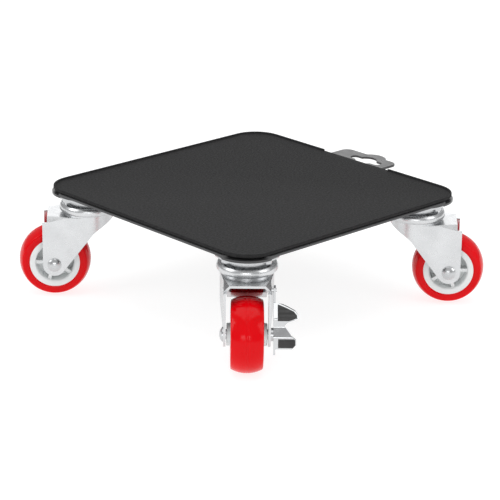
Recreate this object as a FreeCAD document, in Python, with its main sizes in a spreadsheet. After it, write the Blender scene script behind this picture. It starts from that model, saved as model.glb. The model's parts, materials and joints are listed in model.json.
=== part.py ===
import FreeCAD, Part
import math
import os
import Sketcher

# Furniture dolly: a square steel base plate with a hang tab, an anti-slip mat on it and
# four swivel casters with 75 mm wheels, two of them (on one diagonal) with side brakes.
#
# Frame: millimetres, +Z up, origin at the centre of the mat's field. The tab is on +Y.
# Each caster is built in its own frame: origin on the swivel axis at floor height,
# +X towards the wheel (the trail), +Y along the axle, towards the brake side.

V = FreeCAD.Vector
doc = FreeCAD.newDocument("furniture_dolly")

# ---------------------------------------------------------------- driving dimensions
DIMENSIONS = [
    ("deck_height", 118.9, "floor to the top of the mat's rim"),
    ("mat_side", 312.0, "mat, side to side"),
    ("mat_corner", 32.0, "mat, corner radius"),
    ("mat_floor", 1.9, "mat, thickness of the field"),
    ("mat_rim_rise", 2.0, "mat rim above the field"),
    ("mat_rim_width", 2.4, "mat rim, width"),
    ("plate_side", 314.0, "base plate, side to side"),
    ("plate_thickness", 2.3, "base plate, sheet"),
    ("plate_corner", 32.0, "base plate, corner radius"),
    ("pad_radius", 33.0, "round caster pads at the corners"),
    ("pad_drop", 2.2, "how far the pads are pressed down"),
    ("tab_width", 77.0, "hang tab, width"),
    ("tab_shift", -4.5, "hang tab, middle along the side"),
    ("tab_reach", 29.5, "hang tab, reach from the plate's side"),
    ("tab_corner", 9.0, "hang tab, corner radius"),
    ("tab_bump", 17.0, "hang tab, radius of the middle bump"),
    ("tab_notch", 9.5, "gap between the tab and the mat's rim"),
    ("slot_length", 43.0, "hang slot, end to end"),
    ("slot_height", 10.5, "hang slot, height of its arms"),
    ("slot_eye", 12.0, "hang slot, radius of the middle eye"),
    ("slot_shift", 2.0, "hang slot and bump, middle along the side"),
    ("slot_middle", 12.5, "hang slot, middle from the plate's side"),
    ("swivel_offset", 121.0, "swivel axis from the centre, in X and Y"),
    ("trail", 35.5, "swivel axis to axle"),
    ("wheel_radius", 37.5, "wheel"),
    ("wheel_width", 32.0, "wheel"),
    ("core_radius", 26.2, "wheel core"),
    ("recess_radius", 19.8, "recess in the wheel core"),
    ("hub_radius", 11.0, "hub of the wheel core"),
    ("hub_half", 19.6, "half the hub's length"),
    ("bearing_radius", 8.5, "ball bearing, outer radius"),
    ("bearing_width", 5.0, "ball bearing, width"),
    ("sleeve_radius", 5.0, "axle sleeve"),
    ("axle_radius", 4.0, "axle"),
    ("fork_sheet", 2.3, "fork, sheet"),
    ("fork_half", 22.8, "half the fork's width at the axle"),
    ("roof_height", 89.5, "top of the fork's roof above the floor"),
    ("roof_end", 42.7, "end of the fork's roof from the swivel axis"),
    ("boss_radius", 12.0, "round end of a fork leg"),
    ("crown_radius", 26.5, "fork's round body below its ring"),
    ("ring_radius", 30.2, "fork's ring at its widest"),
    ("kingpin_radius", 6.0, "kingpin"),
    ("flange_radius", 32.4, "caster's top flange"),
    ("flange_thickness", 2.5, "caster's top flange"),
    ("bolt_circle", 28.0, "radius of the flange's bolt circle"),
    ("bolt_radius", 2.5, "M5 mounting bolts"),
    ("head_height", 1.9, "mounting bolts, low heads under the mat"),
    ("upper_ball", 3.0, "upper balls, radius"),
    ("lower_ball", 2.5, "lower balls, radius"),
]
sheet = doc.addObject("Spreadsheet::Sheet", "Dims")
for row, (alias, number, note) in enumerate(DIMENSIONS, start=1):
    sheet.set("A%d" % row, alias)
    sheet.set("B%d" % row, str(number))
    sheet.set("C%d" % row, note)
    sheet.setAlias("B%d" % row, alias)
doc.recompute()

FIT = 0.06          # running clearance of a shaft in a hole, on the radius
FREE = 0.35         # gap between faces that pass each other
UPPER_ROW = 18.0    # ball circles of the swivel bearing
LOWER_ROW = 15.0


def size(expression):
    """The number an expression over the sheet gives."""
    return float(sheet.evalExpression(expression))


D = {alias: size("Dims." + alias) for alias, number, note in DIMENSIONS}
FLOOR = -(D["deck_height"] - D["mat_rim_rise"])
PLATE_TOP = D["deck_height"] - D["mat_floor"] - D["mat_rim_rise"]
PAD_TOP = PLATE_TOP - D["pad_drop"]
PAD_UNDER = PAD_TOP - D["plate_thickness"]


# ---------------------------------------------------------------- helpers
def origin_plane(body, role):
    return [item for item in body.Origin.OriginFeatures if item.Role == role][0]


def new_sketch(body, role, name, offset=None):
    """A sketch on one of the body's own origin planes, raised by an offset expression."""
    sketch = body.newObject("Sketcher::SketchObject", name)
    sketch.AttachmentSupport = (origin_plane(body, role), "")
    sketch.MapMode = "FlatFace"
    if offset:
        sketch.setExpression("AttachmentOffset.Base.z", offset)
    return sketch


def place_point(sketch, geometry, point, axis, expression):
    """Fix one coordinate of a sketch point to an expression over the sheet."""
    number = size(expression)
    if abs(number) < 1e-9:
        line = -2 if axis == "X" else -1
        sketch.addConstraint(Sketcher.Constraint("PointOnObject", geometry, point, line))
        return
    kind = "Distance" + axis
    index = sketch.addConstraint(Sketcher.Constraint(kind, -1, 1, geometry, point, number))
    sketch.setExpression("Constraints[%d]" % index, expression)


def closed_profile(sketch, corners):
    """A closed outline. A corner is (x, y), or (x, y, bow) for an arc to the next corner.

    bow is the height of the arc over its chord, positive to the left of the way round.
    """
    points = [V(size(corner[0]), size(corner[1]), 0) for corner in corners]
    count = len(corners)
    for k, corner in enumerate(corners):
        start = points[k]
        end = points[(k + 1) % count]
        if len(corner) == 2:
            sketch.addGeometry(Part.LineSegment(start, end), False)
            continue
        chord = end - start
        bow = size(corner[2])
        side = V(-chord.y, chord.x, 0).normalize()
        middle = (start + end) * 0.5 + side * bow
        arc = Part.Arc(start, middle, end)
        sketch.addGeometry(arc, False)
    ends = []
    for k in range(count):
        geometry = sketch.Geometry[k]
        forward = geometry.StartPoint.distanceToPoint(points[k]) < 1e-6
        ends.append((1, 2) if forward else (2, 1))
    for k in range(count):
        following = (k + 1) % count
        sketch.addConstraint(
            Sketcher.Constraint("Coincident", k, ends[k][1], following, ends[following][0])
        )
    for k, corner in enumerate(corners):
        place_point(sketch, k, ends[k][0], "X", corner[0])
        place_point(sketch, k, ends[k][0], "Y", corner[1])
        if len(corner) == 3:
            radius = sketch.Geometry[k].Radius
            sketch.addConstraint(Sketcher.Constraint("Radius", k, radius))


def new_body(label):
    body = doc.addObject("PartDesign::Body", label)
    body.Label = label
    return body


def pad(body, sketch, length, name):
    feature = body.newObject("PartDesign::Pad", name)
    feature.Profile = sketch
    feature.setExpression("Length", length)
    doc.recompute()
    return feature


def revolve(body, corners, name):
    """Turn an (r, z) outline about the body's Z axis."""
    sketch = new_sketch(body, "XZ_Plane", name + "_profile")
    closed_profile(sketch, corners)
    feature = body.newObject("PartDesign::Revolution", name)
    feature.Profile = sketch
    feature.ReferenceAxis = (sketch, ["V_Axis"])
    feature.Angle = 360
    doc.recompute()
    return feature


def keep(label, shape):
    """A Part::Feature holding a finished shape, at the origin of the object."""
    feature = doc.addObject("Part::Feature", label)
    feature.Label = label
    feature.Shape = shape
    return feature


def primitive(kind, name, **bindings):
    """A Part primitive whose sizes are expressions over the sheet."""
    item = doc.addObject("Part::" + kind, name)
    for key, expression in bindings.items():
        item.setExpression(key, expression)
    return item


def at(x=0.0, y=0.0, z=0.0, angle=0.0):
    """A place in the object's frame, given at floor height and turned about Z."""
    return FreeCAD.Placement(V(x, y, z + FLOOR), FreeCAD.Rotation(V(0, 0, 1), angle))


def solid_of(outline, height):
    """Extrude a closed wire upwards."""
    return Part.Face(outline).extrude(V(0, 0, height))


def turned(points):
    """Solid of revolution about Z from an outline of edges or points in the XZ plane."""
    shape = Part.Face(Part.Wire(points)).revolve(V(0, 0, 0), V(0, 0, 1), 360)
    if shape.Volume < 0:
        shape.reverse()
    return shape


def line(a, b):
    return Part.LineSegment(a, b).toShape()


def bow(a, middle, b):
    return Part.Arc(a, middle, b).toShape()


def rounded_square(side, radius, z):
    """A closed square wire with rounded corners, centred on the origin."""
    half = side / 2
    flat = half - radius
    turn = radius * math.sqrt(0.5)
    edges = []
    for k in range(4):
        spin = FreeCAD.Rotation(V(0, 0, 1), 90 * k)
        start = spin.multVec(V(half, -flat, z))
        end = spin.multVec(V(half, flat, z))
        middle = spin.multVec(V(flat + turn, flat + turn, z))
        after = spin.multVec(V(flat, half, z))
        edges.append(line(start, end))
        edges.append(bow(end, middle, after))
    return Part.Wire(edges)


# ---------------------------------------------------------------- the four casters
# name, side in X, side in Y, angle of the trail at rest, braked
CASTERS = [
    ("front", 1, -1, -45.0 + 2.3, True),
    ("right", 1, 1, 45.0 - 0.8, False),
    ("rear", -1, 1, 135.0 - 3.0, True),
    ("left", -1, -1, -135.0 + 4.4, False),
]


def caster_place(caster):
    name, side_x, side_y, angle, braked = caster
    offset = D["swivel_offset"]
    return at(side_x * offset, side_y * offset, 0, angle)


def bolt_places():
    """Where the mounting bolts stand: four on each caster's bolt circle."""
    places = []
    for name, side_x, side_y, angle, braked in CASTERS:
        for k in range(4):
            spin = FreeCAD.Rotation(V(0, 0, 1), 90 * k)
            arm = spin.multVec(V(D["bolt_circle"], 0, 0))
            x = side_x * D["swivel_offset"] + arm.x
            y = side_y * D["swivel_offset"] + arm.y
            places.append((x, y))
    return places


# ---------------------------------------------------------------- base plate
def tab_outline(z):
    """The hang tab: a rounded tongue with a bump in the middle of its outer edge."""
    middle = D["tab_shift"]
    half = D["tab_width"] / 2
    root = D["plate_side"] / 2 - 12
    outer = D["plate_side"] / 2 + D["tab_reach"]
    tongue = Part.makeBox(2 * half, outer - root, D["plate_thickness"], V(middle - half, root, z))
    corners = [edge for edge in tongue.Edges if abs(edge.Vertexes[0].Y - outer) < 0.01
               and abs(edge.Vertexes[-1].Y - outer) < 0.01
               and abs(edge.Vertexes[0].X - edge.Vertexes[-1].X) < 0.01]
    tongue = tongue.makeFillet(D["tab_corner"], corners)
    eye = V(D["slot_shift"], D["plate_side"] / 2 + D["slot_middle"] + 7.2, z)
    return tongue.fuse(Part.makeCylinder(D["tab_bump"], D["plate_thickness"], eye)).removeSplitter()


def hang_slot(z):
    """The slot through the tab: a long slot with a round eye in its middle."""
    thick = D["plate_thickness"] + 2
    arm = D["slot_height"] / 2
    y = D["plate_side"] / 2 + D["slot_middle"]
    reach = D["slot_length"] / 2 - arm
    left = D["slot_shift"] - reach
    cut = Part.makeBox(2 * reach, 2 * arm, thick, V(left, y - arm, z - 1))
    for side in (-1, 1):
        centre = V(D["slot_shift"] + side * reach, y, z - 1)
        cut = cut.fuse(Part.makeCylinder(arm, thick, centre))
    eye = Part.makeCylinder(D["slot_eye"], thick, V(D["slot_shift"], y, z - 1))
    return cut.fuse(eye).removeSplitter()


STEP = 2.6              # how wide the sloping wall round a pad is


def corner_zone(side_x, side_y, reach, z, height):
    """The corner beyond a diagonal line that meets the plate's sides at reach from its corner."""
    half = D["plate_side"] / 2
    near = half - reach
    far = half + 60
    corners = [(half, near), (far, near - 60), (far, far), (near - 60, far), (near, half)]
    points = [V(side_x * x, side_y * y, z) for x, y in corners]
    return Part.Face(Part.makePolygon(points + points[:1])).extrude(V(0, 0, height))


def round_wall(x, y, z):
    """The sloping wall round a pad, from the pad up to the plate."""
    inner = D["pad_radius"] - 0.8
    outer = D["pad_radius"] + STEP
    points = [V(inner, 0, PAD_UNDER), V(outer - 1.4, 0, PAD_UNDER), V(outer + 0.01, 0, z),
              V(outer + 0.01, 0, PLATE_TOP), V(outer - 1.0, 0, PLATE_TOP), V(inner, 0, PAD_TOP)]
    edges = [line(points[k], points[(k + 1) % len(points)]) for k in range(len(points))]
    wall = turned(edges)
    wall.translate(V(x, y, 0))
    return wall


def diagonal_wall(side_x, side_y, z):
    """The sloping wall across a corner, from the lowered corner up to the plate."""
    half = D["plate_side"] / 2
    reach = D["plate_corner"]
    out = V(side_x, side_y, 0).normalize()
    along = V(-out.y, out.x, 0)
    foot = V(side_x * half, side_y * (half - reach), 0)
    base = out * foot.dot(out) - along * 60
    rises = [(0.8, PAD_UNDER), (0.8, PAD_TOP), (-STEP + 1.0, PLATE_TOP), (-STEP, PLATE_TOP),
             (-STEP, z), (-STEP + 1.4, PAD_UNDER)]
    points = [base + out * shift + V(0, 0, height) for shift, height in rises]
    return Part.Face(Part.makePolygon(points + points[:1])).extrude(along * 120)


def base_plate():
    z = PLATE_TOP - D["plate_thickness"]
    thick = D["plate_thickness"]
    corner = D["plate_corner"]
    pad_radius = D["pad_radius"]
    blank = solid_of(rounded_square(D["plate_side"], corner, z), thick)
    blank = blank.fuse(tab_outline(z)).removeSplitter()
    rim = [edge for edge in blank.Edges if edge.BoundBox.ZMin > PLATE_TOP - 0.01]
    blank = blank.makeFillet(0.6, rim)
    blank = blank.cut(hang_slot(z))
    bounds = solid_of(rounded_square(D["plate_side"], corner, z - 20), 60)
    for name, side_x, side_y, angle, braked in CASTERS:
        x = side_x * D["swivel_offset"]
        y = side_y * D["swivel_offset"]
        well = Part.makeCylinder(pad_radius + STEP, 20, V(x, y, z - 10))
        lowered = corner_zone(side_x, side_y, corner + STEP * math.sqrt(2), z - 10, 20)
        blank = blank.cut(well.fuse(lowered).common(bounds))
        disc = Part.makeCylinder(pad_radius, thick, V(x, y, PAD_UNDER))
        tip = corner_zone(side_x, side_y, corner, PAD_UNDER, thick)
        walls = round_wall(x, y, z).cut(corner_zone(side_x, side_y, corner, z - 20, 60))
        across = diagonal_wall(side_x, side_y, z)
        across = across.cut(Part.makeCylinder(pad_radius, 40, V(x, y, z - 20)))
        pressed = disc.fuse([tip, walls, across]).common(bounds)
        blank = blank.fuse(pressed)
    for x, y in bolt_places():
        hole = Part.makeCylinder(D["bolt_radius"] + 0.2, 20, V(x, y, z - 10))
        blank = blank.cut(hole)
    return blank.removeSplitter()


plate = keep("base_plate", base_plate())
plate.Placement = at()


# ---------------------------------------------------------------- anti-slip mat
def mat_shape():
    """A thin mat with a low raised rim, open at the tab so that fingers reach it."""
    side = D["mat_side"]
    radius = D["mat_corner"]
    rim = D["mat_rim_width"]
    field = solid_of(rounded_square(side, radius, PLATE_TOP), D["mat_floor"])
    top = PLATE_TOP + D["mat_floor"]
    ring = solid_of(rounded_square(side, radius, top), D["mat_rim_rise"])
    inside = solid_of(rounded_square(side - 2 * rim, radius - rim, top - 1), 10)
    ring = ring.cut(inside)
    gap = D["tab_width"] / 2 + D["tab_notch"]
    opening = Part.makeBox(2 * gap, 20, 10, V(-gap, side / 2 - 10, top))
    ring = ring.cut(opening)
    return field.fuse(ring).removeSplitter()


mat = keep("anti_slip_mat", mat_shape())
mat.Placement = at()

# ---------------------------------------------------------------- mounting bolts and nuts
HEAD = "Dims.bolt_radius * 1.5"
bolt_head = primitive("Cylinder", "bolt_head", Radius=HEAD, Height="Dims.head_height")
bolt_head.Placement = FreeCAD.Placement(V(0, 0, PAD_TOP), FreeCAD.Rotation())
bolt_shank = primitive("Cylinder", "bolt_shank", Radius="Dims.bolt_radius", Height="8.2")
bolt_shank.Placement = FreeCAD.Placement(V(0, 0, PAD_TOP - 8.2), FreeCAD.Rotation())
bolt_raw = doc.addObject("Part::Fuse", "bolt_raw")
bolt_raw.Base = bolt_head
bolt_raw.Tool = bolt_shank
doc.recompute()


def rim_edges(shape, radius, z):
    """The circular edges of a shape at one radius and height."""
    found = []
    for index, edge in enumerate(shape.Edges, start=1):
        curve = edge.Curve
        if isinstance(curve, Part.Circle) and abs(curve.Radius - radius) < 0.01:
            if abs(curve.Center.z - z) < 0.01:
                found.append(index)
    return found


bolt = doc.addObject("Part::Fillet", "mounting_bolt")
bolt.Base = bolt_raw
head_top = PAD_TOP + D["head_height"]
bolt.Edges = [(k, 0.9, 0.9) for k in rim_edges(bolt_raw.Shape, size(HEAD), head_top)]

nut_hex = primitive("Prism", "nut_hex", Circumradius="4.62", Height="2.7")
nut_hex.Polygon = 6
nut_bore = primitive("Cylinder", "nut_bore", Radius="Dims.bolt_radius", Height="6")
nut_bore.Placement = FreeCAD.Placement(V(0, 0, -1), FreeCAD.Rotation())
nut = doc.addObject("Part::Cut", "mounting_nut")
nut.Base = nut_hex
nut.Tool = nut_bore
doc.recompute()


def group(label, shape, places):
    """One node holding the same solid at several places."""
    copies = []
    for place in places:
        copy = shape.copy()
        copy.Placement = place.multiply(copy.Placement)
        copies.append(copy)
    return keep(label, Part.makeCompound(copies))


group("mounting_bolts", bolt.Shape, [at(x, y) for x, y in bolt_places()])
nut_z = PAD_UNDER - D["flange_thickness"] - 2.7
group("mounting_nuts", nut.Shape, [at(x, y, nut_z) for x, y in bolt_places()])

# ---------------------------------------------------------------- swivel bearing
CROWN_TOP = 98.0        # crown's upper race, above the floor
CROWN_UNDER = 95.7
CUP_UNDER = 102.4       # flange's pressed cup
CUP_TOP = 104.7
RIM_TOP = 100.4         # rim of the fork's ring
UPPER_Z = CROWN_TOP + 2.2
LOWER_Z = CROWN_UNDER - 1.9
RACE_TOP = 92.0
RACE_UNDER = 89.7


def groove(row, z, radius):
    return Part.makeTorus(row, radius, V(0, 0, z), V(0, 0, 1))


def ball_row(row, z, radius, count):
    balls = []
    for k in range(count):
        spin = FreeCAD.Rotation(V(0, 0, 1), 360.0 * k / count)
        ball = Part.makeSphere(radius)
        ball.translate(spin.multVec(V(row, 0, 0)) + V(0, 0, z))
        balls.append(ball)
    return Part.makeCompound(balls)


def flange_shape():
    """The caster's top flange: a pressed cup for the upper race, its skirt round the balls."""
    under = PAD_UNDER - D["flange_thickness"]
    sheet_wall = 2.4
    skirt = 1.5
    cup = 23.0
    bore = D["kingpin_radius"]
    lip = CROWN_TOP + 0.7
    corners = [(D["flange_radius"], PAD_UNDER), (cup - sheet_wall, PAD_UNDER),
               (cup - sheet_wall, CUP_TOP), (bore, CUP_TOP), (bore, CUP_UNDER),
               (cup - skirt, CUP_UNDER), (cup - skirt, lip), (cup, lip),
               (cup, under), (D["flange_radius"], under)]
    points = [V(r, 0, z) for r, z in corners]
    edges = [line(points[k], points[(k + 1) % len(points)]) for k in range(len(points))]
    shape = turned(edges).cut(groove(UPPER_ROW, UPPER_Z, D["upper_ball"] + FREE))
    for k in range(4):
        spin = FreeCAD.Rotation(V(0, 0, 1), 90 * k)
        centre = spin.multVec(V(D["bolt_circle"], 0, 0)) + V(0, 0, under - 1)
        shape = shape.cut(Part.makeCylinder(D["bolt_radius"] + 0.2, 10, centre))
    return shape


def race_shape():
    """The lower race, clamped under the crown by the kingpin."""
    height = RACE_TOP - RACE_UNDER
    disc = Part.makeCylinder(20.5, height, V(0, 0, RACE_UNDER))
    disc = disc.cut(Part.makeCylinder(D["kingpin_radius"], height, V(0, 0, RACE_UNDER)))
    disc = disc.makeChamfer(0.6, [e for e in disc.Edges if isinstance(e.Curve, Part.Circle)
                                  and abs(e.Curve.Radius - 20.5) < 0.01])
    return disc.cut(groove(LOWER_ROW, LOWER_Z, D["lower_ball"] + FREE))


def kingpin_shape():
    shank = Part.makeCylinder(D["kingpin_radius"], CUP_TOP - 83.5, V(0, 0, 83.5))
    head = Part.makeCylinder(10.0, 4.0, V(0, 0, CUP_TOP))
    head = head.makeFillet(1.5, [e for e in head.Edges if e.BoundBox.ZMin > CUP_TOP + 3])
    return shank.fuse(head)


def hexagon(across, height, z):
    radius = across / math.sqrt(3)
    points = [V(radius * math.cos(math.radians(60 * k)), radius * math.sin(math.radians(60 * k)), z)
              for k in range(7)]
    return Part.Face(Part.makePolygon(points)).extrude(V(0, 0, height))


def nut_shape(across, height, bore):
    """A hexagon nut with chamfered corners, standing on z = 0."""
    cone = Part.makeCone(across / 2 - 0.2 + height, across / 2 - 0.2, height)
    body = hexagon(across, height, 0).common(cone)
    return body.cut(Part.makeCylinder(bore, height + 2, V(0, 0, -1)))


flange_base = flange_shape()
race_base = race_shape()
kingpin_base = kingpin_shape()
for caster in CASTERS:
    x = caster[1] * D["swivel_offset"]
    y = caster[2] * D["swivel_offset"]
    top_flange = keep("top_flange_" + caster[0], flange_base.copy())
    top_flange.Placement = at(x, y)
    kingpin = keep("kingpin_" + caster[0], kingpin_base.copy())
    kingpin.Placement = at(x, y)
centres = [at(c[1] * D["swivel_offset"], c[2] * D["swivel_offset"]) for c in CASTERS]
group("lower_races", race_base, centres)
pin_nut = nut_shape(17.0, 4.5, D["kingpin_radius"])
pin_nut.translate(V(0, 0, RACE_UNDER - 4.5))
group("kingpin_nuts", pin_nut, centres)


# ---------------------------------------------------------------- fork
def plan_wire(radius, half, end, z):
    """Plan of the fork: round about the swivel axis, flat and parallel at the wheel."""
    flat_start = 24.0
    reach = math.hypot(flat_start, half)
    tangent = math.atan2(half, flat_start) + math.acos(radius / reach)
    touch = V(radius * math.cos(tangent), radius * math.sin(tangent), z)
    mirror = V(touch.x, -touch.y, z)
    return Part.Wire([
        line(V(end, -half, z), V(end, half, z)),
        line(V(end, half, z), V(flat_start, half, z)),
        line(V(flat_start, half, z), touch),
        bow(touch, V(-radius, 0, z), mirror),
        line(mirror, V(flat_start, -half, z)),
        line(V(flat_start, -half, z), V(end, -half, z)),
    ])


def side_window():
    """Side outline of the fork's legs, as a slab across the whole fork."""
    axle = V(D["trail"], -60, D["wheel_radius"])
    lead = V(-32.0, -60, 89.6)
    knee = V(-6.0, -60, 73.5)
    boss = D["boss_radius"]
    toward = axle - knee
    slope = math.atan2(toward.z, toward.x) - math.asin(boss / toward.Length)
    touch = axle + V(boss * math.sin(slope), 0, -boss * math.cos(slope))
    before = knee + (lead - knee).normalize() * 6.0
    after = knee + (touch - knee).normalize() * 6.0
    middle = (before + after) * 0.25 + knee * 0.5
    back = D["trail"] + boss
    low = V(D["trail"] + boss * math.cos(math.radians(-45)), -60,
            D["wheel_radius"] - boss * math.sin(math.radians(45)))
    shoulder = 83.5
    end = D["roof_end"]
    top = 120.0
    edges = [
        line(lead, before),
        bow(before, middle, after),
        line(after, touch),
        bow(touch, low, V(back, -60, D["wheel_radius"])),
        line(V(back, -60, D["wheel_radius"]), V(back, -60, shoulder)),
        line(V(back, -60, shoulder), V(end, -60, shoulder)),
        line(V(end, -60, shoulder), V(end, -60, top)),
        line(V(end, -60, top), V(-32.0, -60, top)),
        line(V(-32.0, -60, top), lead),
    ]
    return Part.Face(Part.Wire(edges)).extrude(V(0, 120, 0))


def crown_shape():
    """The round crown with its rolled ring, turned about the swivel axis."""
    inner = D["crown_radius"] - D["fork_sheet"]
    bore = D["kingpin_radius"] + FIT
    crown = D["crown_radius"]
    ring = D["ring_radius"]
    low = 86.0
    points = [V(bore, 0, CROWN_UNDER), V(inner - 1.2, 0, CROWN_UNDER),
              V(inner, 0, CROWN_UNDER - 1.2), V(inner, 0, low), V(crown, 0, low),
              V(crown, 0, 91.2)]
    edges = [line(points[k], points[k + 1]) for k in range(len(points) - 1)]
    edges += [
        bow(V(crown, 0, 91.2), V(crown + 2.6, 0, 92.4), V(ring, 0, 95.0)),
        bow(V(ring, 0, 95.0), V(ring - 0.3, 0, 97.8), V(28.6, 0, 100.0)),
        bow(V(28.6, 0, 100.0), V(27.9, 0, RIM_TOP), V(27.2, 0, 100.1)),
        line(V(27.2, 0, 100.1), V(24.6, 0, CROWN_TOP)),
        line(V(24.6, 0, CROWN_TOP), V(bore, 0, CROWN_TOP)),
        line(V(bore, 0, CROWN_TOP), V(bore, 0, CROWN_UNDER)),
    ]
    shape = turned(edges)
    shape = shape.cut(groove(UPPER_ROW, UPPER_Z, D["upper_ball"] + 0.08))
    return shape.cut(groove(LOWER_ROW, LOWER_Z, D["lower_ball"] + 0.08))


def fold_cut(sink):
    """Everything beyond the slanting folds between the roof and the legs, sunk by a distance."""
    half = D["fork_half"]
    low = V(D["roof_end"], half, D["roof_height"] - 5.6)
    peak = V(19.9, half, D["roof_height"])
    roof = V(D["roof_end"], half - 5.4, D["roof_height"])
    along = (peak - low).normalize()
    out = along.cross(roof - low).normalize()
    if out.z < 0:
        out = out * -1
    across = out.cross(along)
    base = low - out * sink
    points = [base + along * u + across * v for u, v in ((-90, -90), (90, -90), (90, 90), (-90, 90))]
    near = Part.Face(Part.makePolygon(points + points[:1])).extrude(out * 60)
    return near.fuse(near.mirror(V(0, 0, 0), V(0, 1, 0)))


def eased(shape, corner):
    """Round the plan's two shallow corners."""
    upright = [edge for edge in shape.Edges if edge.BoundBox.XLength < 0.01
               and edge.BoundBox.YLength < 0.01 and abs(edge.BoundBox.XMin - 24.0) < 0.01]
    return shape.makeFillet(corner, upright)


def fork_shape(braked):
    """One pressed sheet: crown, roof and two legs."""
    half = D["fork_half"]
    sheet_wall = D["fork_sheet"]
    roof = D["roof_height"]
    end = D["trail"] + D["boss_radius"]
    outer = solid_of(plan_wire(D["crown_radius"], half, end, 20), roof - 20)
    outer = eased(outer, 30.0).cut(fold_cut(0.0))
    inner = solid_of(plan_wire(D["crown_radius"] - sheet_wall, half - sheet_wall, end + 20, 10),
                     roof - sheet_wall - 10)
    inner = eased(inner, 30.0 - sheet_wall).cut(fold_cut(sheet_wall))
    shell = outer.cut(inner)
    mouth = Part.makeCylinder(D["crown_radius"] - sheet_wall, 30, V(0, 0, 70))
    shell = shell.cut(mouth).fuse(crown_shape())
    shell = shell.common(side_window()).removeSplitter()
    hole = Part.makeCylinder(D["axle_radius"] + 0.1, 80, V(D["trail"], -40, D["wheel_radius"]),
                             V(0, 1, 0))
    shell = shell.cut(hole)
    if braked:
        shell = shell.cut(lug_slot([0.0, 0.5, 1.0], LUG_RADIUS + FIT, -40, 40))
    return shell


# the brake: pressing the lever turns it about the axle, and its cam slot drives the
# shoe's lugs down the slots in the fork's legs, so the shoe closes on the tread
LEVER_TURN = 16.0       # lever's full travel, degrees
SHOE_GAP = 3.0          # shoe to tread, released
SHOE_TRAVEL = 2.8
SHOE_ANGLE = 139.0      # where the shoe meets the tread, about the axle from +X
LUG_RADIUS = 2.0
LUG_X = 25.5            # lugs' centre, released
LUG_Z = 79.5


def shoe_way():
    """The direction in which the shoe closes: straight at the axle."""
    angle = math.radians(SHOE_ANGLE)
    return V(-math.cos(angle), 0, -math.sin(angle))


def lug_point(share, turned_lever):
    """The lugs' centre at a share of the travel, seen from the fork or from the lever."""
    point = V(LUG_X, 0, LUG_Z) + shoe_way() * (SHOE_TRAVEL * share)
    if not turned_lever:
        return point
    axle = V(D["trail"], 0, D["wheel_radius"])
    back = FreeCAD.Rotation(V(0, 1, 0), -LEVER_TURN * share)
    return axle + back.multVec(point - axle)


def lug_slot(shares, radius, y0, y1, turned_lever=False):
    """A slot with round ends along the lugs' path, from y0 to y1."""
    first, middle, last = [lug_point(share, turned_lever) for share in shares]
    chord = (last - first).normalize()
    side = V(-chord.z, 0, chord.x)
    ahead = chord * radius
    across = side * radius
    up = V(0, y0, 0)
    if turned_lever:
        centre = Part.Arc(first, middle, last).toShape().Curve.Center
        out_first = (first - centre).normalize() * radius
        out_middle = (middle - centre).normalize() * radius
        out_last = (last - centre).normalize() * radius
        edges = [
            bow(first + out_first + up, middle + out_middle + up, last + out_last + up),
            bow(last + out_last + up, last + ahead + up, last - out_last + up),
            bow(last - out_last + up, middle - out_middle + up, first - out_first + up),
            bow(first - out_first + up, first - ahead + up, first + out_first + up),
        ]
    else:
        edges = [
            line(first + across + up, last + across + up),
            bow(last + across + up, last + ahead + up, last - across + up),
            line(last - across + up, first - across + up),
            bow(first - across + up, first - ahead + up, first + across + up),
        ]
    return Part.Face(Part.Wire(edges)).extrude(V(0, y1 - y0, 0))


plain_fork = fork_shape(False)
brake_fork = fork_shape(True)
upper_balls = ball_row(UPPER_ROW, UPPER_Z, D["upper_ball"], 16)
lower_balls = ball_row(LOWER_ROW, LOWER_Z, D["lower_ball"], 16)


# ---------------------------------------------------------------- axle
def dome(radius, height, foot):
    """A low domed head standing on z = 0, with a short straight foot."""
    rise = height - foot
    ball = (radius * radius + rise * rise) / (2 * rise)
    cap = Part.makeSphere(ball, V(0, 0, height - ball))
    return Part.makeCylinder(radius, height + 1).common(cap)


def along_axle(shape, y, flip=False):
    """Lay a shape built on +Z along the axle, its foot at y, pointing to +Y or -Y."""
    copy = shape.copy()
    turn = FreeCAD.Rotation(V(1, 0, 0), 90 if flip else -90)
    copy.Placement = FreeCAD.Placement(V(D["trail"], y, D["wheel_radius"]), turn)
    return copy


HEAD_RADIUS = 7.2
HEAD_HEIGHT = 3.8
LEVER_INNER = 25.3      # inner face of the brake lever's plate
LEVER_SHEET = 2.0


def axle_shape(braked):
    """Axle pin with a domed head: on +Y, or on -Y where the brake needs the other end."""
    half = D["fork_half"]
    far = LEVER_INNER + LEVER_SHEET + 7.5 if braked else half + 1.8
    shank = Part.makeCylinder(D["axle_radius"], half + far)
    if braked:
        collar = Part.makeCylinder(6.5, LEVER_INNER - half - 0.1)
        pin = along_axle(shank, -half).fuse(along_axle(collar, half))
        head = along_axle(dome(HEAD_RADIUS, HEAD_HEIGHT, 1.0), -half, True)
    else:
        pin = along_axle(shank, half, True)
        head = along_axle(dome(HEAD_RADIUS, HEAD_HEIGHT, 1.0), half)
    return pin.fuse(head).removeSplitter()


def cap_shape():
    """The domed push cap on the far end of a plain axle."""
    cap = dome(HEAD_RADIUS, HEAD_HEIGHT, 1.0)
    cap = cap.cut(Part.makeCylinder(D["axle_radius"], 1.8))
    return along_axle(cap, -D["fork_half"], True)


def sleeve_shape():
    length = 2 * (D["fork_half"] - D["fork_sheet"])
    tube = Part.makeCylinder(D["sleeve_radius"], length)
    tube = tube.cut(Part.makeCylinder(D["axle_radius"], length))
    return along_axle(tube, -length / 2)


# ---------------------------------------------------------------- wheel
def wheel_place(caster):
    name, side_x, side_y, angle, braked = caster
    lay = FreeCAD.Placement(V(D["trail"], 0, D["wheel_radius"]), FreeCAD.Rotation(V(1, 0, 0), -90))
    return caster_place(caster).multiply(lay)


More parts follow.
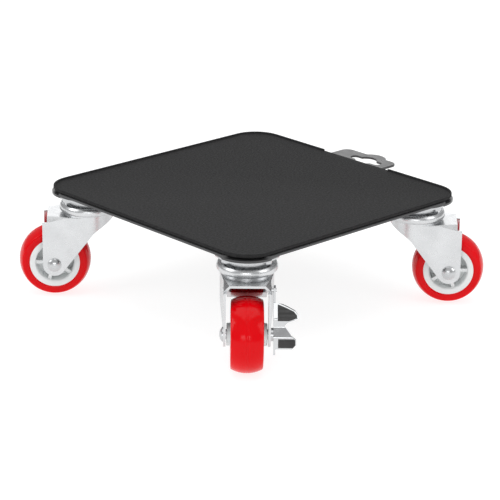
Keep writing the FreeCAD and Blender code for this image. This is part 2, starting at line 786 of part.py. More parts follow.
def build_tread(label):
    """Crowned polyurethane tread: flat flanks, rounded shoulders, a slow crown."""
    body = new_body(label)
    width = "Dims.wheel_width / 2"
    crown = "3.9"
    edge = "5.6"
    revolve(body, [
        ("Dims.core_radius", "-(" + width + " - 0.4)"),
        ("Dims.wheel_radius - " + edge, "-(" + width + ")", "-0.3"),
        ("Dims.wheel_radius - " + crown, "-(" + width + " - 0.7)", "-" + crown),
        ("Dims.wheel_radius - " + crown, width + " - 0.7", "-0.3"),
        ("Dims.wheel_radius - " + edge, width),
        ("Dims.core_radius", width + " - 0.4"),
    ], "tread")
    return body


def build_core(label):
    """Moulded core: rim, thin web, hub with bearing seats, and five ribs on each side."""
    body = new_body(label)
    face = "Dims.wheel_width / 2 - 0.6"
    seat = "Dims.hub_half - Dims.bearing_width"
    revolve(body, [
        ("Dims.core_radius", "-(" + face + ")"),
        ("Dims.core_radius", face),
        ("Dims.core_radius - 1.2", face + " + 0.4"),
        ("Dims.recess_radius + 1", face + " + 0.2"),
        ("Dims.recess_radius", face + " - 1"),
        ("Dims.recess_radius - 0.8", "2.5"),
        ("Dims.hub_radius + 0.6", "2.5"),
        ("Dims.hub_radius", "Dims.hub_half - 0.6"),
        ("Dims.hub_radius - 0.6", "Dims.hub_half"),
        ("Dims.bearing_radius", "Dims.hub_half"),
        ("Dims.bearing_radius", seat),
        ("Dims.sleeve_radius + 1.2", seat),
        ("Dims.sleeve_radius + 1.2", "-(" + seat + ")"),
        ("Dims.bearing_radius", "-(" + seat + ")"),
        ("Dims.bearing_radius", "-Dims.hub_half"),
        ("Dims.hub_radius - 0.6", "-Dims.hub_half"),
        ("Dims.hub_radius", "-(Dims.hub_half - 0.6)"),
        ("Dims.hub_radius + 0.6", "-2.5"),
        ("Dims.recess_radius - 0.8", "-2.5"),
        ("Dims.recess_radius", "-(" + face + " - 1)"),
        ("Dims.recess_radius + 1", "-(" + face + " + 0.2)"),
        ("Dims.core_radius - 1.2", "-(" + face + " + 0.4)"),
    ], "core")
    ribs = new_sketch(body, "XY_Plane", "rib_outline", "-(" + face + " - 2.5)")
    closed_profile(ribs, [
        ("Dims.hub_radius - 1", "-1.5"),
        ("Dims.recess_radius + 1", "-1.9"),
        ("Dims.recess_radius + 1", "1.9"),
        ("Dims.hub_radius - 1", "1.5"),
    ])
    rib = pad(body, ribs, "Dims.wheel_width - 6.2", "rib")
    pattern = body.newObject("PartDesign::PolarPattern", "ribs")
    pattern.Originals = [rib]
    pattern.Axis = (ribs, ["N_Axis"])
    pattern.Angle = 360
    pattern.Occurrences = 5
    body.Tip = pattern
    doc.recompute()
    return body


def bearing_pair():
    """Two sealed ball bearings in the hub, running on the axle sleeve."""
    width = D["bearing_width"]
    ring = Part.makeCylinder(D["bearing_radius"], width)
    ring = ring.cut(Part.makeCylinder(D["sleeve_radius"] + FIT, width))
    for z in (0, width - 0.4):
        seal = Part.makeCylinder(7.6, 0.4, V(0, 0, z)).cut(Part.makeCylinder(6.3, 0.4, V(0, 0, z)))
        ring = ring.cut(seal)
    near = ring.copy()
    near.translate(V(0, 0, D["hub_half"] - width))
    far = ring.copy()
    far.translate(V(0, 0, -D["hub_half"]))
    return Part.makeCompound([near, far])


# ---------------------------------------------------------------- brake
PEDAL_FACE = [          # side view of the pedal sheet, (x, z), from its top to its foot
    (31.5, 68.5),
    (43.5, 57.0),
    (43.5, 48.5),
    (47.5, 39.0),
    (47.5, 27.0),
]
PEDAL_REACH = 50.0      # how far out along the axle the pedals go
PEDAL_WAIST = 35.5
PEDAL_FOOT = 47.2


def ribbon(points, thick, y0, y1):
    """A bent sheet: the side outline (x, z) thickened by thick, from y0 to y1."""
    path = [V(x, y0, z) for x, z in points]
    normals = []
    for k in range(len(path)):
        a = path[max(k - 1, 0)]
        b = path[min(k + 1, len(path) - 1)]
        way = (b - a).normalize()
        normals.append(V(-way.z, 0, way.x))
    back = [path[k] - normals[k] * thick for k in range(len(path))]
    wire = Part.makePolygon(path + back[::-1] + [path[0]])
    solid = Part.Face(wire).extrude(V(0, y1 - y0, 0))
    bends = []
    for edge in solid.Edges:
        box = edge.BoundBox
        straight = box.XLength < 0.01 and box.ZLength < 0.01
        end = min(math.hypot(box.Center.x - x, box.Center.z - z)
                  for x, z in (points[0], points[-1]))
        if straight and end > thick + 0.8:
            bends.append(edge)
    return solid.makeFillet(1.9, bends)


def pedal_window(grow):
    """Front outline (y, z) of the pedals: wide at both ends, narrow at the waist."""
    inner = LEVER_INNER - grow
    points = [(inner, 70.0), (39.0, 65.4), (45.8 + grow, 62.6), (PEDAL_REACH + grow, 58.6),
              (45.8, 55.4), (39.0, 53.0), (PEDAL_WAIST, 49.5), (43.0, 40.0),
              (PEDAL_FOOT + grow, 36.6), (PEDAL_FOOT + grow, 31.5), (43.5, 27.0 - grow),
              (inner, 26.0 - grow)]
    wire = Part.makePolygon([V(20, y, z) for y, z in points + points[:1]])
    slab = Part.Face(wire).extrude(V(60, 0, 0))
    tips = [edge for edge in slab.Edges if edge.BoundBox.YLength < 0.01
            and edge.BoundBox.ZLength < 0.01 and edge.BoundBox.YMin > PEDAL_REACH - 15]
    return slab.makeFillet(1.3, tips)


def lever_shape():
    """Brake lever: side plate on the axle with the pedal sheet bent out from its edge."""
    pedals = ribbon(PEDAL_FACE, LEVER_SHEET, LEVER_INNER, PEDAL_REACH + 5)
    pedals = pedals.common(pedal_window(0))
    y = LEVER_INNER
    axle = V(D["trail"], y, D["wheel_radius"])
    points = [(29.6, 83.0), (30.6, 67.6), (42.4, 56.4), (42.4, 48.2), (46.4, 38.8), (46.4, 20.5),
              (43.0, 19.0), (38.0, 26.0), (30.0, 29.5), (25.0, 38.0), (19.0, 60.0), (13.0, 72.0),
              (14.0, 79.0), (24.0, 84.0)]
    wire = Part.makePolygon([V(x, y, z) for x, z in points + points[:1]])
    plate_solid = Part.Face(wire).extrude(V(0, LEVER_SHEET, 0))
    plate_solid = plate_solid.fuse(Part.makeCylinder(10.0, LEVER_SHEET, axle, V(0, 1, 0)))
    lever = plate_solid.fuse(pedals).removeSplitter()
    lever = lever.cut(lug_slot([0.0, 0.5, 1.0], LUG_RADIUS + FIT, 20, 40, True))
    return lever.cut(Part.makeCylinder(D["axle_radius"] + FIT, 30, axle - V(0, 5, 0), V(0, 1, 0)))


def pedal_pads():
    """Moulded tread pads over the two ends of the pedal sheet."""
    top_zone = Part.makeBox(60, 60, 30, V(20, LEVER_INNER + LEVER_SHEET + 0.6, 53.6))
    low_zone = Part.makeBox(60, 60, 9.6, V(20, LEVER_INNER + LEVER_SHEET + 1.0, 28.2))
    offset = []
    for k, (x, z) in enumerate(PEDAL_FACE):
        a = PEDAL_FACE[max(k - 1, 0)]
        b = PEDAL_FACE[min(k + 1, len(PEDAL_FACE) - 1)]
        way = V(b[0] - a[0], 0, b[1] - a[1]).normalize()
        offset.append((x - way.z * 1.6, z + way.x * 1.6))
    skin = ribbon(offset, 1.6, LEVER_INNER, PEDAL_REACH + 6)
    skin = skin.cut(ribbon(PEDAL_FACE, LEVER_SHEET, LEVER_INNER - 1, PEDAL_REACH + 8))
    skin = skin.common(pedal_window(0.6))
    return Part.makeCompound(skin.common(top_zone).Solids + skin.common(low_zone).Solids)


def shoe_shape():
    """Brake shoe: a bent plate over the tread, with side ears that carry its two lugs."""
    half = 19.4
    ear = 2.0
    way = shoe_way()
    along = V(-way.z, 0, way.x)
    axle = V(D["trail"], 0, D["wheel_radius"])
    low = axle - way * (D["wheel_radius"] + SHOE_GAP)
    knee = low + along * 10.0
    plate_solid = ribbon([(14.3, 82.0), (knee.x, knee.z), (low.x, low.z)], 2.0, -half, half)
    outline = [(11.6, 72.2), (12.8, 82.2), (26.0, 82.6), (28.4, 79.5), (26.0, 76.4), (18.0, 75.0)]
    for side in (-1, 1):
        y = side * half - (ear if side > 0 else 0)
        wire = Part.makePolygon([V(x, y, z) for x, z in outline + outline[:1]])
        plate_solid = plate_solid.fuse(Part.Face(wire).extrude(V(0, ear, 0)))
    for y0, y1 in [(-D["fork_half"] - 0.8, -half + ear), (half - ear, LEVER_INNER + LEVER_SHEET + 0.8)]:
        lug = Part.makeCylinder(LUG_RADIUS, y1 - y0, V(LUG_X, y0, LUG_Z), V(0, 1, 0))
        plate_solid = plate_solid.fuse(lug)
    return plate_solid.removeSplitter()


# ---------------------------------------------------------------- caster assemblies
tread_base = build_tread("tread_front")
core_base = build_core("wheel_core_front")
for caster in CASTERS:
    name, side_x, side_y, angle, braked = caster
    place = caster_place(caster)
    pieces = [
        ("fork_", brake_fork if braked else plain_fork),
        ("upper_balls_", upper_balls),
        ("lower_balls_", lower_balls),
        ("axle_", axle_shape(braked)),
        ("axle_sleeve_", sleeve_shape()),
    ]
    if braked:
        axle_nut = along_axle(nut_shape(13.0, 6.0, D["axle_radius"]), LEVER_INNER + LEVER_SHEET + 0.4)
        pieces += [
            ("axle_nut_", axle_nut),
            ("brake_lever_", lever_shape()),
            ("pedal_pads_", pedal_pads()),
            ("brake_shoe_", shoe_shape()),
        ]
    else:
        pieces.append(("axle_cap_", cap_shape()))
    for prefix, shape in pieces:
        feature = keep(prefix + name, shape.copy())
        feature.Placement = place.multiply(feature.Placement)
    tread = tread_base if name == "front" else build_tread("tread_" + name)
    core = core_base if name == "front" else build_core("wheel_core_" + name)
    tread.Placement = wheel_place(caster)
    core.Placement = wheel_place(caster)
    bearings = keep("wheel_bearings_" + name, bearing_pair())
    bearings.Placement = wheel_place(caster)
doc.recompute()

# ---------------------------------------------------------------- checks and export
HELPERS = {"bolt_head", "bolt_shank", "bolt_raw", "mounting_bolt", "nut_hex", "nut_bore", "mounting_nut"}
for item in doc.Objects:
    if "Invalid" in item.State or "Error" in item.State:
        raise RuntimeError(item.Label + " failed to compute")
nodes = []
for item in doc.Objects:
    made = item.isDerivedFrom("PartDesign::Body") or item.isDerivedFrom("Part::Feature")
    inside = item.isDerivedFrom("PartDesign::Feature") or item.isDerivedFrom("Sketcher::SketchObject")
    if made and not inside and item.Label not in HELPERS:
        nodes.append(item)
for item in nodes:
    if item.Shape.isNull() or not item.Shape.isValid() or not item.Shape.Solids:
        raise RuntimeError(item.Label + " has no valid solid")
os.makedirs("parts", exist_ok=True)
for item in nodes:
    item.Shape.exportStep("parts/" + item.Label + ".step")
print(len(nodes), "nodes")
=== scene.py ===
import json
import math

import bmesh
import bpy
from mathutils import Matrix, Vector


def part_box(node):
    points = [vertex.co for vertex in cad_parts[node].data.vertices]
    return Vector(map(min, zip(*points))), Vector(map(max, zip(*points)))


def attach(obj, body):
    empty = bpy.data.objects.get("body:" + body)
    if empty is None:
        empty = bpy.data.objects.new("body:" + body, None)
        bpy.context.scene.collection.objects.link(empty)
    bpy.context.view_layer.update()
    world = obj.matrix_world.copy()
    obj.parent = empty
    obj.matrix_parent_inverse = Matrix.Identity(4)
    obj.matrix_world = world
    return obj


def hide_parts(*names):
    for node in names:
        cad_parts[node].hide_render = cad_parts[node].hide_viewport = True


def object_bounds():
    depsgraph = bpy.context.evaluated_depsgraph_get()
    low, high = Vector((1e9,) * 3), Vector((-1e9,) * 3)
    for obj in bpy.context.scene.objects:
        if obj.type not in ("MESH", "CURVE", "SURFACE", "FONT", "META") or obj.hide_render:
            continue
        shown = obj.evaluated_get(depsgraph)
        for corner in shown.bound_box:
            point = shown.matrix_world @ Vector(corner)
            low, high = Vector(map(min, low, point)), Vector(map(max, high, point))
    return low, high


# Furniture dolly: the CAD frame carries the metal work and the wheel cores, and this script adds
# the mat, the wheel treads, the pedal pads, every material, the studio and the camera. Metres.

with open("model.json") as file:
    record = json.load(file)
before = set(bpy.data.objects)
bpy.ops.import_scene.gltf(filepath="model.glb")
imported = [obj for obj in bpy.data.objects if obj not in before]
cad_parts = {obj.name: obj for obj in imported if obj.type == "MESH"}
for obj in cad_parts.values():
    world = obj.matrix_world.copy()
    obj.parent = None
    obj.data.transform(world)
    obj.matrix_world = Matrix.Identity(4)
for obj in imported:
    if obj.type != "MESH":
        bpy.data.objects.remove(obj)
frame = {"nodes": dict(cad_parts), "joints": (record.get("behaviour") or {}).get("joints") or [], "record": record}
cad_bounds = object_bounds()
nodes = frame["nodes"]
joints = {joint["name"]: joint for joint in frame["joints"]}
MM = 0.001
CORNERS = ("front", "right", "rear", "left")
BRAKED = ("front", "rear")


# ---------------------------------------------------------------- materials
class Finish:
    """A procedural material, built node by node on the object's own coordinates."""

    def __init__(self, name, colour, roughness, metallic=0.0):
        self.material = bpy.data.materials.new(name)
        self.material.use_nodes = True
        self.tree = self.material.node_tree
        self.shader = self.tree.nodes["Principled BSDF"]
        self.shader.inputs["Metallic"].default_value = metallic
        self.shader.inputs["Base Color"].default_value = (*colour, 1.0)
        self.shader.inputs["Roughness"].default_value = roughness
        self.place = self.add("ShaderNodeTexCoord").outputs["Object"]
        self.height = None

    def add(self, kind, **settings):
        """A new shader node, with its settings made."""
        node = self.tree.nodes.new(kind)
        for key, value in settings.items():
            setattr(node, key, value)
        return node

    def link(self, source, target):
        self.tree.links.new(source, target)

    def stretched(self, scale):
        """The object's coordinates, multiplied along each axis."""
        mapping = self.add("ShaderNodeMapping")
        mapping.inputs["Scale"].default_value = scale
        self.link(self.place, mapping.inputs["Vector"])
        return mapping.outputs["Vector"]

    def noise(self, scale, detail=3.0, rough=0.5, along=None):
        """Noise from 0 to 1, in cells per metre."""
        node = self.add("ShaderNodeTexNoise")
        node.inputs["Scale"].default_value = scale
        node.inputs["Detail"].default_value = detail
        node.inputs["Roughness"].default_value = rough
        self.link(along or self.place, node.inputs["Vector"])
        return node.outputs["Fac"]

    def spread(self, source, low, high, start=0.3, end=0.7):
        """Map a signal between two numbers."""
        node = self.add("ShaderNodeMapRange")
        node.inputs["From Min"].default_value = start
        node.inputs["From Max"].default_value = end
        node.inputs["To Min"].default_value = low
        node.inputs["To Max"].default_value = high
        self.link(source, node.inputs["Value"])
        return node.outputs["Result"]

    def tint(self, source, dark, light, start=0.3, end=0.7):
        """Blend the base colour between two colours by a signal."""
        ramp = self.add("ShaderNodeValToRGB")
        ramp.color_ramp.elements[0].position = start
        ramp.color_ramp.elements[0].color = (*dark, 1.0)
        ramp.color_ramp.elements[1].position = end
        ramp.color_ramp.elements[1].color = (*light, 1.0)
        self.link(source, ramp.inputs["Fac"])
        self.link(ramp.outputs["Color"], self.shader.inputs["Base Color"])

    def gloss(self, source, low, high, start=0.3, end=0.7):
        """Drive the roughness between two values by a signal."""
        self.link(self.spread(source, low, high, start, end), self.shader.inputs["Roughness"])

    def bump(self, source, depth, strength=1.0):
        """Raise the surface by a signal; each call stands on the one before."""
        node = self.add("ShaderNodeBump")
        node.inputs["Strength"].default_value = strength
        node.inputs["Distance"].default_value = depth
        self.link(source, node.inputs["Height"])
        if self.height:
            self.link(self.height, node.inputs["Normal"])
        self.height = node.outputs["Normal"]
        self.link(self.height, self.shader.inputs["Normal"])

    def wave(self, scale, direction, distortion=0.0):
        """Bands across one axis, from 0 to 1."""
        node = self.add("ShaderNodeTexWave", wave_type="BANDS", bands_direction=direction)
        node.inputs["Scale"].default_value = scale
        node.inputs["Distortion"].default_value = distortion
        node.inputs["Detail"].default_value = 1.0
        self.link(self.place, node.inputs["Vector"])
        return node.outputs["Fac"]

    def multiply(self, a, b):
        node = self.add("ShaderNodeMath", operation="MULTIPLY")
        self.link(a, node.inputs[0])
        self.link(b, node.inputs[1])
        return node.outputs["Value"]


def mat_finish():
    """Anti-slip mat: black rubber with a fine cross weave and a dusty mottle."""
    finish = Finish("mat_rubber", (0.013, 0.013, 0.0135), 0.72)
    finish.tint(finish.noise(420, 5.0, 0.75), (0.008, 0.008, 0.0082), (0.024, 0.024, 0.025), 0.35, 0.7)
    finish.gloss(finish.noise(500, 4.0), 0.66, 0.84)
    weave = finish.multiply(finish.wave(300, "X", 0.4), finish.wave(300, "Y", 0.4))
    finish.bump(weave, 0.25 * MM, 0.5)
    finish.bump(finish.noise(900, 2.0), 0.12 * MM, 0.6)
    finish.shader.inputs["Specular IOR Level"].default_value = 0.22
    return finish.material


def plate_finish():
    """Base plate: dark grey satin powder coat with a slight orange peel."""
    finish = Finish("plate_powder_coat", (0.045, 0.045, 0.047), 0.3)
    finish.tint(finish.noise(35, 4.0), (0.039, 0.039, 0.041), (0.051, 0.051, 0.053))
    finish.gloss(finish.noise(90, 3.0), 0.26, 0.36)
    finish.bump(finish.noise(1400, 2.0, 0.6), 0.1 * MM, 0.35)
    return finish.material


def zinc_finish(name, colour, low, high, grain):
    """Bright zinc plate: slightly cloudy, with fine rolling marks."""
    finish = Finish(name, colour, low, 1.0)
    dark = tuple(channel * 0.9 for channel in colour)
    cloud = finish.noise(55, 5.0, 0.6)
    finish.tint(cloud, dark, colour)
    finish.gloss(finish.noise(120, 5.0, 0.65), low, high)
    rolled = finish.noise(260, 3.0, 0.5, finish.stretched((1.0, 1.0, grain)))
    finish.bump(rolled, 0.04 * MM, 0.35)
    finish.bump(finish.noise(38, 2.0), 0.25 * MM, 0.25)
    return finish.material


def tread_finish():
    """Cast polyurethane: deep glossy red with faint flow marks and light scuffs."""
    finish = Finish("tread_polyurethane", (0.70, 0.0006, 0.004), 0.12)
    finish.tint(finish.noise(30, 3.0), (0.66, 0.0005, 0.003), (0.74, 0.0008, 0.005))
    finish.gloss(finish.noise(150, 4.0, 0.6), 0.09, 0.16)
    finish.bump(finish.noise(45, 2.0), 0.05 * MM, 0.2)
    finish.shader.inputs["Specular IOR Level"].default_value = 0.15
    return finish.material


def core_finish():
    """Injection-moulded white nylon: satin with a faint mould texture."""
    finish = Finish("core_nylon", (0.80, 0.82, 0.82), 0.36)
    finish.tint(finish.noise(40, 4.0), (0.76, 0.78, 0.78), (0.84, 0.86, 0.86))
    finish.gloss(finish.noise(200, 4.0), 0.30, 0.44)
    finish.bump(finish.noise(700, 2.0), 0.05 * MM, 0.3)
    return finish.material


def pedal_finish():
    """Black moulded pedal pads: satin, finely grained, with low cross ridges."""
    finish = Finish("pedal_plastic", (0.02, 0.02, 0.02), 0.45)
    finish.tint(finish.noise(70, 4.0), (0.016, 0.016, 0.016), (0.03, 0.03, 0.03))
    finish.gloss(finish.noise(300, 3.0), 0.36, 0.55)
    finish.bump(finish.wave(95, "Z"), 0.5 * MM, 0.6)
    finish.bump(finish.noise(1500, 2.0), 0.08 * MM, 0.5)
    return finish.material


FINISHES = {
    "plate_paint": plate_finish(),
    "mat_rubber": mat_finish(),
    "tread_red": tread_finish(),
    "core_white": core_finish(),
    "pedal_black": pedal_finish(),
    "fork_zinc": zinc_finish("fork_zinc_plate", (0.66, 0.67, 0.68), 0.22, 0.34, 0.12),
    "brake_zinc": zinc_finish("brake_zinc_plate", (0.60, 0.61, 0.62), 0.10, 0.18, 0.3),
    "fastener_zinc": zinc_finish("fastener_zinc_plate", (0.58, 0.59, 0.60), 0.22, 0.34, 1.0),
    "bearing_steel": zinc_finish("bearing_ground_steel", (0.62, 0.62, 0.63), 0.18, 0.3, 1.0),
}
for part in frame["record"]["subparts"]:
    mesh = nodes[part["node"]].data
    mesh.materials.clear()
    mesh.materials.append(FINISHES[part["material_slot"]])


# ---------------------------------------------------------------- mesh helpers
def new_piece(name, mesh, material_slot, body, *replaced):
    """Link a mesh as a piece of the object that rides on a body and stands for CAD nodes."""
    piece = bpy.data.objects.new(name, mesh)
    bpy.context.scene.collection.objects.link(piece)
    mesh.materials.append(FINISHES[material_slot])
    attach(piece, body)
    if replaced:
        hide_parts(*replaced)
    return piece


def finish_mesh(bm, name, smooth_angle=35.0):
    """Turn a bmesh into a mesh, smooth except at its sharp edges."""
    bmesh.ops.recalc_face_normals(bm, faces=bm.faces)
    limit = math.radians(smooth_angle)
    for edge in bm.edges:
        edge.smooth = len(edge.link_faces) == 2 and edge.calc_face_angle(0.0) < limit
    for face in bm.faces:
        face.smooth = True
    mesh = bpy.data.meshes.new(name)
    bm.to_mesh(mesh)
    bm.free()
    return mesh


def lathe(bm, profile, place, steps):
    """Turn a closed (radius, height) profile about Z and set it in place."""
    rings = []
    for step in range(steps):
        angle = 2 * math.pi * step / steps
        ring = []
        for radius, height in profile:
            point = Vector((radius * math.cos(angle), radius * math.sin(angle), height))
            ring.append(bm.verts.new(place @ point))
        rings.append(ring)
    count = len(profile)
    for step in range(steps):
        here = rings[step]
        there = rings[(step + 1) % steps]
        for point in range(count):
            after = (point + 1) % count
            bm.faces.new((here[point], here[after], there[after], there[point]))


def axle_place(corner):
    """The place of a wheel: its Z along the axle, its X level, its origin at its middle."""
    joint = joints["wheel_spin_" + corner]
    axis = Vector(joint["axis"]).normalized()
    level = Vector((0, 0, 1)).cross(axis).normalized()
    third = axis.cross(level)
    turn = Matrix((level, third, axis)).transposed().to_4x4()
    return Matrix.Translation(Vector(joint["pos_m"])) @ turn


# ---------------------------------------------------------------- anti-slip mat
MAT_LOW, MAT_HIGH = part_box("anti_slip_mat")
MAT_HALF = MAT_HIGH.x
MAT_CORNER = 32 * MM
CORNER_STEPS = 12
RIM_WIDTH = 2.4 * MM
FIELD_Z = 0.0
RIM_OPEN = 48 * MM          # half the rim's opening, in the middle of the tab's side
RIM_END = 0.004             # the rim's end slopes over this share of half the flat side
TAB_QUARTER = 1             # the side with the tab, in quarter turns from +X


def mat_outline():
    """Points round the mat's edge: place, outward direction, and whether the rim stands."""
    flat = MAT_HALF - MAT_CORNER
    open_share = RIM_OPEN / flat
    stops = [-1, -0.75, -0.5, -open_share - RIM_END, -open_share, -0.15, 0.0]
    stops += [-stop for stop in stops[-2::-1]]
    outline = []
    for quarter in range(4):
        turn = Matrix.Rotation(math.pi / 2 * quarter, 3, "Z")
        for stop in stops:
            opened = quarter == TAB_QUARTER and abs(stop) <= open_share + 1e-6
            level = 0.0 if opened else 1.0
            outline.append((turn @ Vector((MAT_HALF, stop * flat, 0)), turn @ Vector((1, 0, 0)), level))
        for step in range(1, CORNER_STEPS):
            angle = math.pi / 2 * step / CORNER_STEPS
            way = Vector((math.cos(angle), math.sin(angle), 0))
            centre = Vector((flat, flat, 0))
            outline.append((turn @ (centre + way * MAT_CORNER), turn @ way, 1.0))
    return outline


def build_mat():
    """The mat: a tray with an undercut edge and a rounded rim that stops at the tab."""
    rise = MAT_HIGH.z - FIELD_Z
    # Each point: inset from the edge, height, and share of the rim's rise added to the height.
    # In order: undercut underside, outer wall, rounded rim, fillet to the field.
    profile = [(1.2 * MM, MAT_LOW.z, 0), (1.0 * MM, MAT_LOW.z + 0.6 * MM, 0),
               (0.1 * MM, MAT_LOW.z + 1.0 * MM, 0), (0.0, FIELD_Z - 0.5 * MM, 0),
               (0.0, FIELD_Z, 0.62), (0.25 * MM, FIELD_Z, 0.9), (0.7 * MM, FIELD_Z, 1.0),
               (1.5 * MM, FIELD_Z, 1.0), (1.95 * MM, FIELD_Z, 0.88), (2.2 * MM, FIELD_Z, 0.6),
               (RIM_WIDTH, FIELD_Z, 0.25), (2.8 * MM, FIELD_Z, 0.06), (3.4 * MM, FIELD_Z, 0.0)]
    bm = bmesh.new()
    loops = []
    for place, way, level in mat_outline():
        column = []
        for inset, height, share in profile:
            point = place - way * inset
            point.z = height + share * rise * level
            column.append(bm.verts.new(point))
        loops.append(column)
    count = len(loops)
    for station in range(count):
        here = loops[station]
        there = loops[(station + 1) % count]
        for point in range(len(profile) - 1):
            bm.faces.new((here[point], there[point], there[point + 1], here[point + 1]))
    bm.faces.new([column[-1] for column in loops])
    bm.faces.new([column[0] for column in reversed(loops)])
    return finish_mesh(bm, "mat_surface", smooth_angle=50.0)


new_piece("mat_surface", build_mat(), "mat_rubber", "platform", "anti_slip_mat")

# ---------------------------------------------------------------- wheel treads
TREAD_RADIUS = 37.5 * MM
TREAD_HALF = 16.0 * MM
TREAD_BORE = 26.2 * MM
TREAD_STEPS = 160
CROWN_REACH = 15.3 * MM     # half the crown's width
CROWN_DROP = 3.9 * MM       # from the crown's middle to its edge
CROWN_STEPS = 22
SEAM_REACH = 1.3 * MM       # the mould seam takes this much of the crown on each side
SEAM_GROOVE = 0.22 * MM


def tread_profile():
    """Closed outline of the tread: bore, flanks, shoulders, crown and the mould seam."""
    bend = (CROWN_REACH * CROWN_REACH + CROWN_DROP * CROWN_DROP) / (2 * CROWN_DROP)
    crown = []
    for step in range(CROWN_STEPS + 1):
        height = -CROWN_REACH + 2 * CROWN_REACH * step / CROWN_STEPS
        radius = TREAD_RADIUS - bend + math.sqrt(bend * bend - height * height)
        crown.append((radius, height))
    seam = [(TREAD_RADIUS - SEAM_GROOVE, -0.9 * MM), (TREAD_RADIUS, -0.45 * MM),
            (TREAD_RADIUS, 0.45 * MM), (TREAD_RADIUS - SEAM_GROOVE, 0.9 * MM)]
    below = [point for point in crown if point[1] <= -SEAM_REACH]
    above = [point for point in crown if point[1] >= SEAM_REACH]
    lower = [(TREAD_BORE, -TREAD_HALF + 0.4 * MM), (TREAD_BORE + 0.5 * MM, -TREAD_HALF + 0.1 * MM),
             (TREAD_RADIUS - 6.2 * MM, -TREAD_HALF), (TREAD_RADIUS - 5.0 * MM, -TREAD_HALF + 0.2 * MM),
             (TREAD_RADIUS - 4.3 * MM, -TREAD_HALF + 0.45 * MM)]
    upper = [(radius, -height) for radius, height in reversed(lower)]
    return lower + below + seam + above + upper


for corner in CORNERS:
    bm = bmesh.new()
    lathe(bm, tread_profile(), axle_place(corner), TREAD_STEPS)
    mesh = finish_mesh(bm, "tread_surface_" + corner, smooth_angle=40.0)
    new_piece("tread_surface_" + corner, mesh, "tread_red", "wheel_" + corner, "tread_" + corner)


# ---------------------------------------------------------------- pedal pads
PAD_SHARE = 0.84            # the moulded pads stop short of the pedal sheet's edge


def loose_parts(bm):
    """The vertices of each separate part of a mesh, as a list of sets."""
    parts = []
    waiting = set(bm.verts)
    while waiting:
        part = set()
        front = [waiting.pop()]
        while front:
            vert = front.pop()
            part.add(vert)
            linked = {edge.other_vert(vert) for edge in vert.link_edges} & waiting
            waiting -= linked
            front.extend(linked)
        parts.append(part)
    return parts


def build_pads(corner):
    """The two pads as the CAD has them, drawn in so that a bright rim of the sheet shows."""
    bm = bmesh.new()
    bm.from_mesh(nodes["pedal_pads_" + corner].data)
    bmesh.ops.remove_doubles(bm, verts=bm.verts, dist=1e-6)
    for pad in loose_parts(bm):
        low = Vector([min(vert.co[axis] for vert in pad) for axis in range(3)])
        high = Vector([max(vert.co[axis] for vert in pad) for axis in range(3)])
        middle = (low + high) * 0.5
        for vert in pad:
            vert.co = middle + (vert.co - middle) * PAD_SHARE
    return finish_mesh(bm, "pedal_grips_" + corner)


for corner in BRAKED:
    mesh = build_pads(corner)
    new_piece("pedal_grips_" + corner, mesh, "pedal_black", "lever_" + corner, "pedal_pads_" + corner)


# ---------------------------------------------------------------- studio
FLOOR_Z = cad_bounds[0][2]
FLOOR_SIZE = 8.0


def build_floor():
    """A plain pale floor, a little bright of itself, that runs past the view on every side."""
    mesh = bpy.data.meshes.new("floor")
    bm = bmesh.new()
    bmesh.ops.create_grid(bm, x_segments=1, y_segments=1, size=FLOOR_SIZE)
    bm.to_mesh(mesh)
    bm.free()
    floor = bpy.data.objects.new("floor", mesh)
    bpy.context.scene.collection.objects.link(floor)
    floor.location.z = FLOOR_Z
    finish = Finish("floor_paper", (0.35, 0.35, 0.35), 0.9)
    finish.tint(finish.noise(3, 2.0), (0.34, 0.34, 0.34), (0.36, 0.36, 0.36))
    finish.shader.inputs["Specular IOR Level"].default_value = 0.1
    finish.shader.inputs["Emission Color"].default_value = (1.0, 1.0, 1.0, 1.0)
    finish.shader.inputs["Emission Strength"].default_value = 0.82
    mesh.materials.append(finish.material)


def area_light(name, place, target, width, height, power):
    """A rectangular lamp at a place, turned to a target."""
    light = bpy.data.lights.new(name, "AREA")
    light.shape = "RECTANGLE"
    light.size = width
    light.size_y = height
    light.energy = power
    lamp = bpy.data.objects.new(name, light)
    bpy.context.scene.collection.objects.link(lamp)
    lamp.location = place
    lamp.rotation_mode = "QUATERNION"
    lamp.rotation_quaternion = (Vector(target) - Vector(place)).to_track_quat("-Z", "Y")


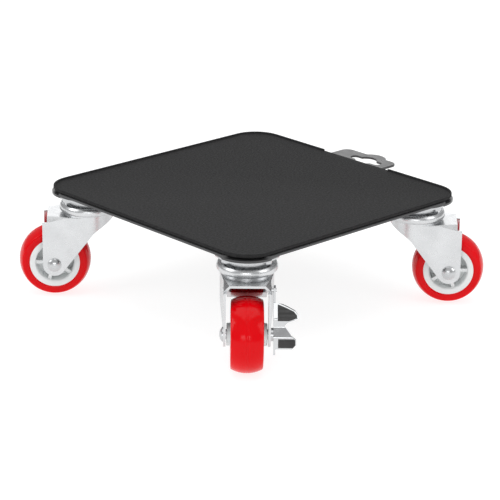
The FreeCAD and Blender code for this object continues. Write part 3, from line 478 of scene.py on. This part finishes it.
def build_world():
    """A pale studio: bright overhead, a little darker towards the horizon."""
    world = bpy.data.worlds.new("studio")
    bpy.context.scene.world = world
    world.use_nodes = True
    tree = world.node_tree
    background = tree.nodes["Background"]
    coords = tree.nodes.new("ShaderNodeTexCoord")
    parts = tree.nodes.new("ShaderNodeSeparateXYZ")
    ramp = tree.nodes.new("ShaderNodeValToRGB")
    ramp.color_ramp.elements[0].position = 0.0
    ramp.color_ramp.elements[0].color = (0.62, 0.62, 0.63, 1)
    ramp.color_ramp.elements[1].position = 0.55
    ramp.color_ramp.elements[1].color = (1.0, 1.0, 1.0, 1)
    tree.links.new(coords.outputs["Generated"], parts.inputs["Vector"])
    tree.links.new(parts.outputs["Z"], ramp.inputs["Fac"])
    tree.links.new(ramp.outputs["Color"], background.inputs["Color"])
    background.inputs["Strength"].default_value = 0.55


build_floor()
build_world()
area_light("overhead", (0.0, 0.0, 1.4), (0, 0, 0), 1.6, 1.6, 10)
area_light("key_left", (-0.6, -1.5, 0.9), (0, 0, -0.05), 0.9, 0.9, 7)
area_light("front_low", (1.6, -1.7, 0.35), (0, 0, -0.05), 1.2, 0.5, 6)
area_light("fill_right", (1.5, 0.5, 0.7), (0, 0, -0.05), 0.9, 0.9, 5)
area_light("rim_back", (-1.9, 1.8, 1.0), (0, 0, 0), 2.2, 1.2, 9)
bpy.context.scene.view_settings.view_transform = "Standard"


# ---------------------------------------------------------------- camera
AZIMUTH, ELEVATION, ROLL = math.radians(46.27), math.radians(19.41), math.radians(0.85)
DISTANCE = 2.2143
AIM = Vector((0, 0, -0.0569))
LENS = 151.8                # millimetres, on a sensor 36 mm wide
SENSOR = 36.0
SHIFT_X, SHIFT_Y = -0.0030, -0.0181


def build_camera():
    """A long lens at the height of a low table, turned a little about its own axis."""
    back = Vector((math.sin(AZIMUTH) * math.cos(ELEVATION), -math.cos(AZIMUTH) * math.cos(ELEVATION),
                   math.sin(ELEVATION)))
    right = Vector((math.cos(AZIMUTH), math.sin(AZIMUTH), 0))
    up = back.cross(right)
    across = right * math.cos(ROLL) + up * math.sin(ROLL)
    upward = up * math.cos(ROLL) - right * math.sin(ROLL)
    data = bpy.data.cameras.new("camera")
    data.lens = LENS
    data.sensor_width = SENSOR
    data.shift_x = SHIFT_X
    data.shift_y = SHIFT_Y
    data.clip_start = 0.05
    data.clip_end = 50.0
    camera = bpy.data.objects.new("camera", data)
    bpy.context.scene.collection.objects.link(camera)
    turn = Matrix((across, upward, back)).transposed().to_4x4()
    camera.matrix_world = Matrix.Translation(AIM + back * DISTANCE) @ turn
    bpy.context.scene.camera = camera


build_camera()
